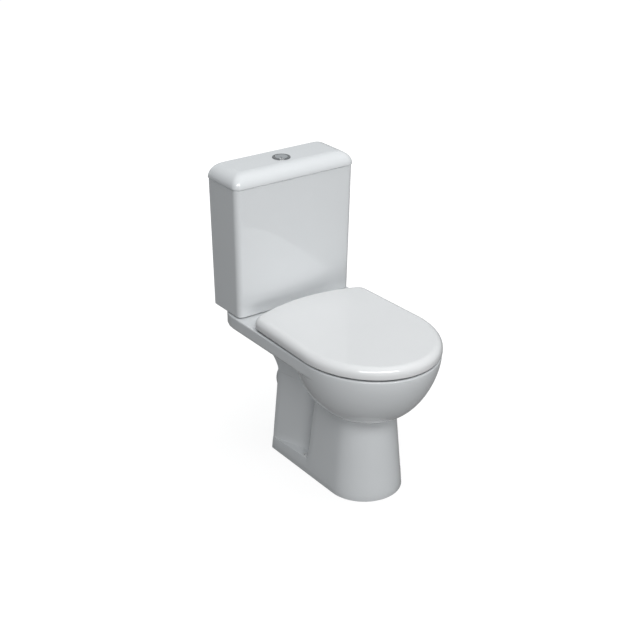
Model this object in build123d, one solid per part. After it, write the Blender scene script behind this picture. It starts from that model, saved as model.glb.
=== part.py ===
"""Close coupled toilet: ceramic pan and cistern, hinged seat, and the working parts inside.

Millimetres, +Z up, front towards -Y, X to the right seen from the front. Depth is given as
a distance s from the wall plane, where the back of the cistern stands.
"""
from build123d import *
from math import cos, radians, sin
import os

# Overall reach from the wall plane to the tip of the seat lid
overall_depth = 632.0

# Overlap of joined forms and overshoot of cuts
lap = 1.0

# Pan: rim and rear deck
rim_top = 395.0
rim_band = 38.5
rim_side_setback = 2.8
rim_tip_setback = 1.0
rim_shoulder = 430.0
rim_edge = 4.0
deck_rear = 8.0
deck_corner = 84.0
deck_shoulder = 380.0
deck_tip_inset = 31.0
deck_foot_edge = 10.0

# Pan: outside of the bowl, from its foot up to the rim edge
bowl_foot = 226.0
bowl_foot_half = 82.0
bowl_foot_tip = 514.0
bowl_foot_rear = 242.0
bowl_rear = 252.0
bowl_waist = 421.0
bowl_fullness = 1.53
bowl_roundness = 1.62
crown_lead = 0.3

# Pan: pedestal column, foot and the set-in rear web
foot_half = 99.0
column_top_half = 80.0
column_centre = 427.0
column_rear = 302.0
column_lean = 20.0
column_lap = 10.0
plinth_front = 317.0
pedestal_rear = 145.0
web_inset = 26.0
web_front = 330.0
ledge_rear_height = 34.0
ledge_front_height = 45.0
neck_start = 236.0
neck_flare = 118.0
neck_curve = 2.2
neck_side_share = 0.75
neck_rear_share = 0.67

# Pan: inside
bowl_wall = 13.0
opening_half = 122.0
rim_front_width = 53.0
opening_rear = 262.0
rim_lip = 23.0
sump_half = 66.0
sump_tip = 495.0
sump_rear = 300.0
sump_floor = 124.0
sump_floor_half = 40.0
sump_floor_tip = 425.0
sump_floor_waist = 370.0
sump_floor_rear = 310.0
trap_radius = 28.0
trap_bend = 38.0
trap_wall = 8.0
trap_start_s = 390.0
trap_turn_s = 305.0
trap_inlet_height = 142.0
trap_weir_s = 238.0
trap_weir_height = 250.0
trap_drop_s = 192.0
foot_wall = 14.0
pan_wall = 12.0
column_hollow_top = 165.0
web_hollow_front = 345.0

# Outlet spigot
spigot_radius = 51.0
spigot_bore = 44.0
spigot_height = 180.0
spigot_end = 100.0
spigot_depth = 65.0

# Cistern tank
coupling_gap = 2.0
tank_height = 352.7
tank_wall = 10.0
tank_floor = 12.0
tank_side_lead = 1.6
tank_side_draft = 6.0
tank_foot_depth = 122.0
tank_top_depth = 130.0
tank_front_corner = 15.0
tank_rear_corner = 4.0
tank_front_corner_share = 0.9
tank_rear_corner_share = 0.2
tank_hole_play = 0.7
tank_edge = 3.5
wall_hole_radius = 4.5
wall_hole_spacing = 200.0
wall_hole_drop = 40.0

# Cistern lid
lid_seam = 0.3
lid_height = 35.0
lid_overhang = 2.3
lid_front_overhang = 3.0
lid_round = 33.0
lid_round_reach = 38.0
lid_rear_round = 8.0
lid_skirt = 13.0
lid_side_skirt = 27.0
lid_front_skirt = 23.0
lid_top_wall = 13.0
lid_corner = 18.0
lid_front_corner_share = 0.33
lid_rear_corner_share = 0.2
locating_lip = 8.0
locating_play = 2.5
lip_rear_wall = 3.5
hollow_corner = 6.0
hollow_front_corner = 14.0
lip_rear_corner = 4.0
lip_front_corner = 10.0

# Flush buttons in the lid
valve_s = 64.0
bezel_radius = 24.0
bezel_rise = 2.5
bezel_edge = 2.0
sleeve_radius = 19.5
sleeve_wall = 2.5
sleeve_play = 0.5
spring_room = 17.0
guide_plate = 3.0
button_play = 0.3
button_split = 0.8
button_rise = 0.5
button_thick = 5.0
button_edge = 1.0
button_travel = 6.0
half_button_radius = 19.0
half_button_reach = 3.0
rod_radius = 3.0
rod_offset = 8.5
rod_play = 0.1
rod_foot = 4.0
rod_foot_lap = 4.0
locknut_radius = 27.0
locknut_thick = 8.0
locknut_grips = 8
grip_radius = 3.0
spring_wire = 0.6
spring_radius = 5.2
spring_turns = 5

# Flush valve
tail_radius = 24.0
tail_bore = 20.0
tail_drop = 19.0
gasket_thick = 3.0
flange_radius = 38.0
flange_thick = 6.0
seat_lip = 2.0
seat_lip_wall = 3.0
seal_gap = 0.2
seal_thick = 3.0
seal_radius = 26.0
seal_holder = 4.0
lift_tube_radius = 16.0
lift_tube_bore = 13.0
lift_tube_play = 0.3
collar_radius = 23.0
collar_thick = 3.2
drum_radius = 40.0
drum_wall = 6.0
drum_rise = 111.0
drum_headroom = 59.7
drum_plate = 6.0
drum_top_radius = 48.0
pillar_radius = 3.5
pillar_count = 4
back_nut_radius = 33.0
back_nut_thick = 11.0
coupling_seal_radius = 44.0
socket_play = 1.0
socket_depth = 22.0
inlet_boss_wall = 7.0
inlet_boss_depth = 33.0
flush_duct_half = 24.0
flush_duct_height = 17.0
flush_duct_cover = 11.0
flush_duct_end = 287.0

# Rockers on top of the valve
rocker_pivot_x = 42.0
rocker_pivot_rise = 7.0
rocker_width = 8.0
nose_reach = 22.0
nose_rise = 20.0
nose_radius = 3.5
finger_reach = 22.5
finger_radius = 2.5
trip_reach = 13.5
contact_gap = 0.3
small_pin = 2.5
small_boss = 5.0
ear_thick = 4.0
ear_half = 5.0
ear_play = 0.5
pin_end = 5.0
pin_play = 0.05

# Fill valve and float
fill_side_gap = 45.0
inlet_radius = 10.48
inlet_drop = 45.0
inlet_tail = 34.0
inlet_shank_radius = 12.0
inlet_nut_radius = 18.5
inlet_nut_thick = 9.0
inlet_wall = 4.0
inlet_recess_radius = 23.0
inlet_recess_depth = 62.0
fill_flange_radius = 17.0
fill_flange_thick = 4.0
riser_radius = 9.0
riser_headroom = 139.7
head_radius = 16.0
head_height = 30.0
head_pivot_share = 0.4
cap_height = 12.0
cap_overhang = 1.5
cap_edge = 3.0
arm_pivot_offset = 22.0
arm_reach = 16.0
arm_thick = 6.0
arm_plate = 3.0
arm_plate_half_width = 12.0
arm_plate_half_height = 10.0
float_valve_gap = 4.0
float_depth = 56.0
float_height = 50.0
float_wall = 3.0
float_corner = 8.0
float_top_share = 0.3

# Cistern to pan bolts
coupling_bolt_x = 80.0
coupling_bolt_radius = 4.0
coupling_hole_radius = 5.5
coupling_washer_radius = 14.0
coupling_nut_room = 18.0
coupling_nut_depth = 60.0
cone_washer_thick = 5.0
steel_washer_thick = 1.5
wing_nut_height = 8.5
wing_nut_span = 34.0
wing_nut_radius = 9.0
wing_thick = 4.0
wing_drop = 1.5
bolt_head_radius = 11.0
bolt_head_height = 6.0
bolt_tail = 7.0

# Seat and lid
seat_gap = 5.0
skirt_gap = 6.0
seat_rest_play = 0.2
ring_thick = 16.0
ring_inset = 8.0
ring_rear = 180.0
ring_corner = 30.0
ring_edge = 6.0
ring_hole_half = 112.0
ring_front_width = 54.0
ring_hole_rear = 290.0
seat_lid_height = 29.0
seat_lid_half = 182.2
seat_lid_side_draft = 6.2
seat_lid_wall = 4.5
seat_lid_round = 20.0
seat_lid_rear_round = 7.0
seat_lid_shoulder = 420.0
seat_lid_rear = 155.0
seat_lid_rear_bow = 32.5
seat_lid_corner = 27.0
seat_lid_corner_share = 0.4
rear_cut_inset = 16.0
rear_cut_drop = 5.0
buffer_radius = 8.0
lid_buffer_side_inset = 40.2
lid_buffer_rear = 300.0
lid_buffer_front_inset = 82.2
lid_buffer_tip_inset = 87.0
seat_buffer_side_inset = 32.2
seat_buffer_rear = 290.0
seat_buffer_front_inset = 87.2
seat_buffer_tip_inset = 72.0

# Seat hinge
hinge_s = 169.0
hinge_z = 413.0
hinge_x = 77.5
knuckle_radius = 8.5
knuckle_width = 15.0
lug_width = 10.6
lug_play = 0.4
lug_inset = 0.5
lug_rear = 0.5
lid_lug_front = 8.0
lid_lug_drop = 2.0
ring_lug_front = 33.0
ring_lug_drop = 6.0
notch_side = 3.0
notch_play = 0.8
hinge_pin_radius = 4.0
post_base_radius = 15.0
post_base_thick = 4.0
stud_radius = 4.0
plug_radius = 7.0
plug_depth = 43.0
plug_end = 2.0

# Floor fixing sleeves
floor_fixing_x = 86.0
floor_fixing_s = 290.0
floor_fixing_bore = 4.2
floor_fixing_wall = 2.6
floor_fixing_seat = 42.0
floor_fixing_foot = 2.0
floor_flange_radius = 8.5
floor_flange_thick = 3.0
floor_flange_room = 20.0

# Places and sizes that follow from the values above
rim_half = seat_lid_half - rim_side_setback
rim_tip = overall_depth - rim_tip_setback
deck_tip = rim_tip - deck_tip_inset
opening_tip = rim_tip - rim_front_width
tank_top_half = rim_half + tank_side_lead
tank_foot_half = tank_top_half - tank_side_draft
fill_x = tank_foot_half - fill_side_gap
arm_pivot_x = fill_x - arm_pivot_offset
float_width = arm_pivot_x - arm_reach - drum_top_radius - float_valve_gap
band_bottom = rim_top - rim_band
crown_bottom = rim_top - rim_edge - lap
tank_bottom = rim_top + coupling_gap
tank_inside = tank_bottom + tank_floor
tank_top = tank_bottom + tank_height
lid_bottom = tank_top + lid_seam
lid_top = lid_bottom + lid_height
lid_inside = lid_top - lid_top_wall
lid_half = tank_top_half + lid_overhang
lid_depth = tank_top_depth + lid_front_overhang
button_top = lid_top + bezel_rise + button_rise
button_bottom = button_top - button_thick
guide_top = button_bottom - button_travel - spring_room
housing_bottom = guide_top - guide_plate
drum_bottom = tank_inside + drum_rise
drum_top = tank_top - drum_headroom
riser_top = tank_top - riser_headroom
rocker_pivot_z = drum_top + rocker_pivot_rise
foot_bottom = rocker_pivot_z + nose_rise + nose_radius + contact_gap
flange_bottom = tank_inside + gasket_thick
flange_top = flange_bottom + flange_thick
seal_bottom = flange_top + seat_lip + seal_gap
seal_top = seal_bottom + seal_thick
collar_bottom = rocker_pivot_z + finger_radius + contact_gap
collar_top = collar_bottom + collar_thick
socket_floor = rim_top - socket_depth
socket_radius = coupling_seal_radius + socket_play
skirt_bottom = rim_top + skirt_gap
ring_bottom = rim_top + seat_gap
ring_top = ring_bottom + ring_thick
seat_lid_top = ring_bottom + seat_lid_height
seat_lid_inside = seat_lid_top - seat_lid_wall
ring_tip = overall_depth - ring_inset
ring_hole_tip = ring_tip - ring_front_width
lid_buffer_places = ((seat_lid_half - lid_buffer_side_inset, lid_buffer_rear),
                     (seat_lid_half - lid_buffer_front_inset, overall_depth - lid_buffer_tip_inset))
seat_buffer_places = ((seat_lid_half - seat_buffer_side_inset, seat_buffer_rear),
                      (seat_lid_half - seat_buffer_front_inset, overall_depth - seat_buffer_tip_inset))
head_top = riser_top + head_height
arm_pivot_z = riser_top + head_pivot_share * head_height


def back(s):
    """Row-frame Y of a distance s from the wall plane."""
    return overall_depth / 2 - s


def at(x, s, z):
    return Pos(x, back(s), z)


def rod(radius, low, high, x=0.0, s=valve_s):
    """Upright cylinder between two heights."""
    return at(x, s, (low + high) / 2) * Cylinder(radius, high - low)


def sleeve(outer, inner, low, high, x=0.0, s=valve_s):
    return rod(outer, low, high, x, s) - rod(inner, low - lap, high + lap, x, s)


def cross_rod(radius, x_low, x_high, s, z):
    """Cylinder along X."""
    return at((x_low + x_high) / 2, s, z) * Rot(0, 90, 0) * Cylinder(radius, x_high - x_low)


def deep_rod(radius, s_low, s_high, x, z):
    """Cylinder along Y."""
    return at(x, (s_low + s_high) / 2, z) * Rot(90, 0, 0) * Cylinder(radius, s_high - s_low)


def block(x_range, s_range, z_range):
    middle = [(low + high) / 2 for low, high in (x_range, s_range, z_range)]
    size = [high - low for low, high in (x_range, s_range, z_range)]
    return at(*middle) * Box(*size)


def both_sides(shape):
    """The shape and its mirror image, left and right."""
    return [shape, mirror(shape, about=Plane.YZ)]


def level(face, z):
    return Pos(0, 0, z) * face


def d_plan(half, tip, shoulder, rear, corner, draft=0.0, bow=0.0):
    """Plan face: rear edge, sides that draw in from the shoulder to the rear, half-elliptical front."""
    front = EllipticalCenterArc((0, back(shoulder)), half, tip - shoulder, 180, arc_size=180)
    rear_half = half - draft
    rear_side = back(rear + bow)
    right = Line((half, back(shoulder)), (rear_half, rear_side))
    left = Line((-rear_half, rear_side), (-half, back(shoulder)))
    if bow:
        end = ThreePointArc((rear_half, rear_side), (0, back(rear)), (-rear_half, rear_side))
    else:
        end = Line((rear_half, rear_side), (-rear_half, rear_side))
    face = make_face([front, right, end, left])
    corners = [v for v in face.vertices() if abs(v.Y - rear_side) < 0.01]
    return fillet(corners, corner)


def oval_plan(half, tip, waist, rear):
    """Plan face of two half ellipses that meet at the waist."""
    front = EllipticalCenterArc((0, back(waist)), half, tip - waist, 180, arc_size=180)
    end = EllipticalCenterArc((0, back(waist)), half, waist - rear, 0, arc_size=180)
    return make_face([front, end])


def box_plan(half, rear, front, rear_corner, front_corner):
    """Plan face of a box with its own corner radii at the rear and at the front."""
    y_rear = back(rear)
    y_front = back(front)
    outline = Polyline((-half, y_rear), (half, y_rear), (half, y_front), (-half, y_front), close=True)
    face = make_face(outline)
    face = fillet([v for v in face.vertices() if abs(v.Y - y_front) < 0.01], front_corner)
    return fillet([v for v in face.vertices() if abs(v.Y - y_rear) < 0.01], rear_corner)


def swell(t):
    """Share of the bowl's full width reached at share t of its height."""
    return (1 - (1 - t) ** bowl_fullness) ** (1 / bowl_roundness)


def between(low, high, share):
    return low + (high - low) * share


def pan_bowl():
    """Outside of the bowl: ovals that swell from the foot to the rim, rounded over at the top."""
    sections = []
    for t in (0, 0.06, 0.2, 0.4, 0.65, 0.85, 1):
        share = swell(t)
        half = between(bowl_foot_half, rim_half + crown_lead, share)
        tip = between(bowl_foot_tip, rim_tip, share)
        waist = between(rim_shoulder, bowl_waist, share)
        rear = between(bowl_foot_rear, bowl_rear, share)
        sections.append(level(oval_plan(half, tip, waist, rear), between(bowl_foot, crown_bottom, t)))
    bowl = loft(sections)
    crown = extrude(sections[-1], rim_top - crown_bottom)
    return bowl + fillet(crown.edges().group_by(Axis.Z)[-1], rim_edge)


def pan_deck():
    """Rear deck with a rounded lower edge; its front lies inside the bowl."""
    plan = d_plan(rim_half, deck_tip, deck_shoulder, deck_rear, deck_corner)
    deck = extrude(level(plan, band_bottom), rim_band)
    deck = fillet(deck.edges().group_by(Axis.Z)[0], deck_foot_edge)
    return fillet(deck.edges().group_by(Axis.Z)[-1], rim_edge)


def pedestal_half(z):
    return between(foot_half, column_top_half, z / bowl_foot)


def column_form(low, high, inset):
    """Column between two heights, drawn in by an inset."""
    faces = []
    for z in (low, high):
        half = pedestal_half(z) - inset
        rear = column_rear + column_lean * z / bowl_foot + inset
        front = EllipticalCenterArc((0, back(column_centre)), half, half, 180, arc_size=180)
        sides = Polyline((half, back(column_centre)), (half, back(rear)), (-half, back(rear)),
                         (-half, back(column_centre)))
        faces.append(level(make_face([front, sides]), z))
    return loft(faces, ruled=True)


def wedge_plan(rear_half, rear, front_half, front):
    return make_face(Polyline((-rear_half, back(rear)), (rear_half, back(rear)),
                              (front_half, back(front)), (-front_half, back(front)), close=True))


def web_form(bottom, front, inset, shares):
    """Rear web: sides turn in towards the column, and flare out again under the deck."""
    low = []
    for z in (bottom, neck_start):
        half = pedestal_half(z) - inset
        low.append(level(wedge_plan(half, pedestal_rear + inset, half - web_inset, front), z))
    high = []
    for t in shares:
        reach = neck_flare * t ** neck_curve
        half = pedestal_half(neck_start) + neck_side_share * reach - inset
        rear = pedestal_rear - neck_rear_share * reach + inset
        plan = wedge_plan(half, rear, half - web_inset, front)
        high.append(level(plan, between(neck_start, band_bottom + lap, t)))
    return loft(low, ruled=True) + loft(high)


def pan_foot():
    """Floor plinth behind the column; its top is the ledge of the side recess."""
    faces = []
    for z in (0, ledge_front_height + lap):
        half = pedestal_half(z)
        faces.append(level(wedge_plan(half, pedestal_rear, half, plinth_front), z))
    plinth = loft(faces, ruled=True)
    side = make_face(Polyline((back(pedestal_rear), 0), (back(pedestal_rear), ledge_rear_height),
                              (back(plinth_front), ledge_front_height), (back(plinth_front), 0), close=True))
    return plinth & extrude(Plane.YZ * side, foot_half + lap, both=True)


def pan_inlet_boss():
    """Thickening under the deck round the flush inlet."""
    return rod(socket_radius + inlet_boss_wall, band_bottom - inlet_boss_depth, band_bottom + lap)


def pan_cavity(wall):
    """Inside of the bowl and the sump below it, grown by a wall."""
    top = rim_top - rim_lip
    low = bowl_foot + column_lap
    sections = []
    for t in (0, 0.06, 0.2, 0.45, 0.7, 1):
        share = swell(t)
        half = between(sump_half, rim_half - bowl_wall, share) + wall
        tip = between(sump_tip, rim_tip - bowl_wall, share) + wall
        rear = between(sump_rear, bowl_rear + bowl_wall, share) - wall
        sections.append(level(oval_plan(half, tip, bowl_waist, rear), between(low, top, t)))
    floor_half = sump_floor_half + wall
    floor = oval_plan(floor_half, sump_floor_tip + wall, sump_floor_waist, sump_floor_rear - wall)
    sump = loft([sections[0], level(floor, sump_floor - wall)], ruled=True)
    return loft(sections) + sump


def pan_mouth():
    """Opening in the rim above the bowl."""
    plan = oval_plan(opening_half, opening_tip, bowl_waist, opening_rear)
    return extrude(level(plan, rim_top - rim_lip - lap), rim_lip + 2 * lap)


def pan_trap(wall):
    """Trapway from the sump over the weir to the outlet spigot, grown by a wall."""
    route = [(trap_start_s, trap_inlet_height), (trap_turn_s, trap_inlet_height),
             (trap_weir_s, trap_weir_height), (trap_drop_s, spigot_height),
             (spigot_end - lap, spigot_height)]
    path = FilletPolyline([(0, back(s), z) for s, z in route], radius=trap_bend)
    start = Plane(origin=path @ 0, z_dir=path % 0)
    tube = sweep(start * Circle(trap_radius + wall), path=path)
    bore_end = spigot_end + spigot_depth + wall
    return tube + deep_rod(spigot_bore + wall, spigot_end - lap, bore_end, 0, spigot_height)


def pan_hollow():
    """Open underside of the pedestal, clear of the walls of the sump and the trapway."""
    web = web_form(-lap, web_hollow_front, foot_wall, (0, 0.25, 0.45, 0.65, 0.75))
    hollow = column_form(-lap, column_hollow_top, foot_wall) + web
    return hollow - pan_cavity(pan_wall) - pan_trap(trap_wall)


def pan_holes():
    """Flush inlet, coupling, seat fixing, water inlet and floor fixing holes."""
    duct_top = socket_floor - flush_duct_cover
    duct_bottom = duct_top - flush_duct_height
    cuts = [rod(socket_radius, socket_floor, rim_top + lap)]
    cuts.append(rod(tail_radius, duct_bottom, socket_floor + lap))
    duct_x = (-flush_duct_half, flush_duct_half)
    cuts.append(block(duct_x, (valve_s, flush_duct_end), (duct_bottom, duct_top)))
    cuts.append(rod(inlet_recess_radius, rim_top - inlet_recess_depth, rim_top + lap, fill_x))
    bush = floor_fixing_bore + floor_fixing_wall + pin_play
    seat = floor_fixing_seat
    for side in (-1, 1):
        bolt_x = side * coupling_bolt_x
        cuts.append(rod(coupling_hole_radius, band_bottom - lap, rim_top + lap, bolt_x))
        cuts.append(rod(coupling_nut_room, band_bottom - coupling_nut_depth, band_bottom, bolt_x))
        plug_low = rim_top - plug_depth - plug_end
        cuts.append(rod(plug_radius + pin_play, plug_low, rim_top + lap, side * hinge_x, hinge_s))
        fixing_x = side * floor_fixing_x
        cuts.append(rod(bush, -lap, seat + lap, fixing_x, floor_fixing_s))
        cuts.append(rod(floor_flange_radius + lap, seat, seat + floor_flange_room, fixing_x, floor_fixing_s))
    return cuts


def make_pan():
    spigot = deep_rod(spigot_radius, spigot_end, pedestal_rear + foot_wall, 0, spigot_height)
    column = column_form(0, bowl_foot + column_lap, 0)
    web = web_form(0, web_front, 0, (0, 0.25, 0.45, 0.65, 0.85, 1))
    body = pan_bowl() + pan_deck() + column + web + pan_foot() + pan_inlet_boss() + spigot
    body = body - pan_hollow() - pan_cavity(0) - pan_mouth() - pan_trap(0)
    for cut in pan_holes():
        body = body - cut
    return body


def tank_plan(z, inset):
    share = (z - tank_bottom) / tank_height
    half = between(tank_foot_half, tank_top_half, share) - inset
    front = between(tank_foot_depth, tank_top_depth, share) - inset
    rear_corner = tank_rear_corner - inset * tank_rear_corner_share
    front_corner = tank_front_corner - inset * tank_front_corner_share
    return level(box_plan(half, inset, front, rear_corner, front_corner), z)


def make_tank():
    """Tapered ceramic box, open at the top, with holes in its floor and rear wall."""
    shell = loft([tank_plan(tank_bottom, 0), tank_plan(tank_top, 0)], ruled=True)
    shell = fillet(shell.edges().group_by(Axis.Z)[0], tank_edge)
    inside = loft([tank_plan(tank_inside, tank_wall), tank_plan(tank_top + lap, tank_wall)], ruled=True)
    shell = shell - inside
    low = tank_bottom - lap
    high = tank_inside + lap
    cuts = [rod(tail_radius + tank_hole_play, low, high)]
    cuts.append(rod(inlet_shank_radius + tank_hole_play, low, high, fill_x))
    for side in (-1, 1):
        cuts.append(rod(coupling_hole_radius, low, high, side * coupling_bolt_x))
        cuts.append(deep_rod(wall_hole_radius, -lap, tank_wall + lap, side * wall_hole_spacing / 2,
                             tank_top - wall_hole_drop))
    for cut in cuts:
        shell = shell - cut
    return shell


def lid_plan(angle, z_side):
    """Plan of the cistern lid where its rounded edge has turned by an angle."""
    inset = lid_round_reach * (1 - cos(angle))
    rear = lid_rear_round * (1 - cos(angle))
    z = z_side + lid_round * sin(angle)
    rear_corner = tank_rear_corner + inset * lid_rear_corner_share
    front_corner = lid_corner - inset * lid_front_corner_share
    return level(box_plan(lid_half - inset, rear, lid_depth - inset, rear_corner, front_corner), z)


def make_cistern_lid():
    """Pillow-shaped ceramic lid with a hollow underside and a lip that drops into the tank."""
    side = lid_top - lid_round
    sections = [level(box_plan(lid_half, 0, lid_depth, tank_rear_corner, lid_corner), lid_bottom)]
    for degrees in (0, 20, 40, 60, 78, 90):
        sections.append(lid_plan(radians(degrees), side))
    lid = loft(sections)
    inner_half = lid_half - lid_side_skirt
    inner_front = lid_depth - lid_front_skirt
    hollow = box_plan(inner_half, lid_skirt, inner_front, hollow_corner, hollow_front_corner)
    lid = lid - extrude(level(hollow, lid_bottom - lap), lid_inside - lid_bottom + lap)
    lip_half = tank_top_half - tank_wall - locating_play
    lip_rear = tank_wall + locating_play
    lip_front = tank_top_depth - tank_wall - locating_play
    lip_low = lid_bottom - locating_lip
    lip = box_plan(lip_half, lip_rear, lip_front, lip_rear_corner, lip_front_corner)
    lip = extrude(level(lip, lip_low), locating_lip + lap)
    inner = box_plan(inner_half, lip_rear + lip_rear_wall, inner_front, hollow_corner, hollow_front_corner)
    lip = lip - extrude(level(inner, lip_low - lap), locating_lip + 3 * lap)
    return lid + lip - rod(sleeve_radius + sleeve_play, lid_inside - lap, lid_top + lap)


def make_button_housing():
    """Chrome bezel with a sleeve through the lid and a plate that guides the two rods."""
    bezel = rod(bezel_radius, lid_top, lid_top + bezel_rise)
    bezel = fillet(bezel.edges().group_by(Axis.Z)[-1], bezel_edge)
    housing = bezel + rod(sleeve_radius, housing_bottom, lid_top + lap)
    housing = housing - rod(sleeve_radius - sleeve_wall, guide_top, button_top + lap)
    for side in (-1, 1):
        guide = rod(rod_radius + rod_play, housing_bottom - lap, guide_top + lap, side * rod_offset)
        housing = housing - guide
    return housing


def make_button_locknut():
    nut = sleeve(locknut_radius, sleeve_radius + pin_play, lid_inside - locknut_thick, lid_inside)
    for step in range(locknut_grips):
        grip = Rot(0, 0, step * 360 / locknut_grips) * Pos(locknut_radius, 0, lid_inside - locknut_thick / 2)
        nut = nut - Pos(0, back(valve_s), 0) * grip * Cylinder(grip_radius, locknut_thick + 2 * lap)
    return nut


def button_disc():
    disc = rod(sleeve_radius - sleeve_wall - button_play, button_bottom, button_top)
    return fillet(disc.edges().group_by(Axis.Z)[-1], button_edge)


def half_button_cutter(radius):
    """Upright cylinder whose wall is the curved split between the two buttons."""
    return rod(radius, button_bottom - lap, button_top + lap, -half_button_radius - half_button_reach)


def make_full_button():
    return button_disc() - half_button_cutter(half_button_radius + button_split / 2)


def make_half_button():
    return button_disc() & half_button_cutter(half_button_radius - button_split / 2)


def make_push_rod(side):
    """Rod under a button, with a foot that reaches out over its rocker."""
    nose_x = rocker_pivot_x + nose_reach
    shaft = rod(rod_radius, foot_bottom, button_bottom, side * rod_offset)
    near = rod_offset - rod_radius
    ends = sorted((side * near, side * (nose_x + rod_foot_lap)))
    foot = block(ends, (valve_s - rod_radius, valve_s + rod_radius), (foot_bottom, foot_bottom + rod_foot))
    return shaft + foot


def make_button_spring(side):
    """Return spring round a rod, between the guide plate and its button."""
    low = guide_top + spring_wire
    height = button_bottom - spring_wire - low
    helix = Helix(height / spring_turns, height, spring_radius)
    start = Plane(origin=helix @ 0, z_dir=helix % 0)
    coil = sweep(start * Circle(spring_wire), path=helix, is_frenet=True)
    return at(side * rod_offset, valve_s, low) * coil


def ears(x_range, gap, z_range):
    """Two plates, one each side of a lever of the given width."""
    pair = []
    for edge in (-1, 1):
        sides = (edge * (gap / 2 + ear_play), edge * (gap / 2 + ear_play + ear_thick))
        pair.append(block(x_range, (valve_s + min(sides), valve_s + max(sides)), z_range))
    return pair


def pin_hole(gap, x, z):
    reach = gap / 2 + pin_end + lap
    return deep_rod(small_pin, valve_s - reach, valve_s + reach, x, z)


def lever_pin(gap, x, z):
    reach = gap / 2 + pin_end
    return deep_rod(small_pin, valve_s - reach, valve_s + reach, x, z)


def make_valve_body():
    """Flush valve: threaded tail, flange, seat, pillars and a closed drum that guides the tube."""
    tail_low = tank_bottom - tail_drop
    body = rod(tail_radius, tail_low, flange_bottom + lap) + rod(flange_radius, flange_bottom, flange_top)
    body = body + sleeve(tail_bore + seat_lip_wall, tail_bore, flange_top - lap, flange_top + seat_lip)
    reach = drum_radius - drum_wall
    for step in range(pillar_count):
        turn = radians((step + 0.5) * 360 / pillar_count)
        x = reach * cos(turn)
        s = valve_s + reach * sin(turn)
        body = body + rod(pillar_radius, flange_top - lap, drum_bottom + lap, x, s)
    drum = rod(drum_radius, drum_bottom, drum_top)
    drum = drum - rod(drum_radius - drum_wall, drum_bottom + drum_plate, drum_top - drum_plate)
    body = body + drum + rod(drum_top_radius, drum_top - drum_plate, drum_top)
    for side in (-1, 1):
        pivot_x = side * rocker_pivot_x
        ear_x = (pivot_x - ear_half, pivot_x + ear_half)
        body = body + ears(ear_x, rocker_width, (drum_top - lap, rocker_pivot_z + ear_half))
        body = body - pin_hole(rocker_width, pivot_x, rocker_pivot_z)
    body = body - rod(tail_bore, tail_low - lap, flange_top + lap)
    return body - rod(lift_tube_radius + lift_tube_play, drum_bottom - lap, drum_top + lap)


def make_lift_tube():
    """Overflow tube with a base that carries the seal and a collar for the rocker."""
    tube = rod(lift_tube_radius, seal_top, collar_top) + rod(seal_radius, seal_top, seal_top + seal_holder)
    tube = tube + rod(collar_radius, collar_bottom, collar_top)
    return tube - rod(lift_tube_bore, seal_top - lap, collar_top + lap)


def make_rocker(side, inner_reach):
    """Bent lever: nose under the rod's foot, pivot, and a finger towards the tube."""
    pivot = (side * rocker_pivot_x, rocker_pivot_z)
    nose = (side * (rocker_pivot_x + nose_reach), rocker_pivot_z + nose_rise)
    finger = (side * (rocker_pivot_x - inner_reach), rocker_pivot_z)
    near = valve_s - rocker_width / 2
    far = valve_s + rocker_width / 2
    lever = deep_rod(small_boss, near, far, *pivot)
    lever = lever + deep_rod(nose_radius, near, far, *nose) + deep_rod(finger_radius, near, far, *finger)
    for (end_x, end_z), radius in ((nose, nose_radius), (finger, finger_radius)):
        run_x = end_x - pivot[0]
        run_z = end_z - pivot[1]
        length = (run_x ** 2 + run_z ** 2) ** 0.5
        normal = (-run_z / length * radius, run_x / length * radius)
        arm = Polyline((pivot[0] + normal[0], pivot[1] + normal[1]), (end_x + normal[0], end_z + normal[1]),
                       (end_x - normal[0], end_z - normal[1]), (pivot[0] - normal[0], pivot[1] - normal[1]),
                       close=True)
        web = extrude(Plane.XZ * make_face(arm), rocker_width / 2, both=True)
        lever = lever + Pos(0, back(valve_s), 0) * web
    return lever - deep_rod(small_pin + pin_play, near - lap, far + lap, *pivot)


def make_fill_body():
    """Fill valve: inlet tail, shank through the tank floor, riser and valve head with two ears."""
    tail_low = tank_bottom - inlet_drop
    tail_high = tail_low + inlet_tail
    body = rod(inlet_radius, tail_low, tail_high, fill_x)
    body = body + rod(inlet_shank_radius, tail_high, flange_bottom + lap, fill_x)
    body = body + rod(fill_flange_radius, flange_bottom, flange_bottom + fill_flange_thick, fill_x)
    body = body + rod(riser_radius, flange_bottom + lap, riser_top + lap, fill_x)
    body = body + rod(head_radius, riser_top, head_top, fill_x)
    ear_z = (arm_pivot_z - ear_half, arm_pivot_z + ear_half)
    body = body + ears((arm_pivot_x - ear_half, fill_x), arm_thick, ear_z)
    body = body - pin_hole(arm_thick, arm_pivot_x, arm_pivot_z)
    return body - rod(inlet_radius - inlet_wall, tail_low - lap, riser_top, fill_x)


def make_fill_cap():
    cap = rod(head_radius + cap_overhang, head_top, head_top + cap_height, fill_x)
    return fillet(cap.edges().group_by(Axis.Z)[-1], cap_edge)


def make_float_arm():
    """Short arm between the ears, ending in a plate on the side of the float."""
    half = arm_thick / 2
    end = arm_pivot_x - arm_reach
    near = valve_s - half
    far = valve_s + half
    arm = deep_rod(small_boss, near, far, arm_pivot_x, arm_pivot_z)
    arm = arm + block((end, arm_pivot_x), (near, far), (arm_pivot_z - half, arm_pivot_z + half))
    plate_s = (valve_s - arm_plate_half_width, valve_s + arm_plate_half_width)
    plate_z = (arm_pivot_z - arm_plate_half_height, arm_pivot_z + arm_plate_half_height)
    arm = arm + block((end, end + arm_plate), plate_s, plate_z)
    return arm - deep_rod(small_pin + pin_play, near - lap, far + lap, arm_pivot_x, arm_pivot_z)


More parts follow.
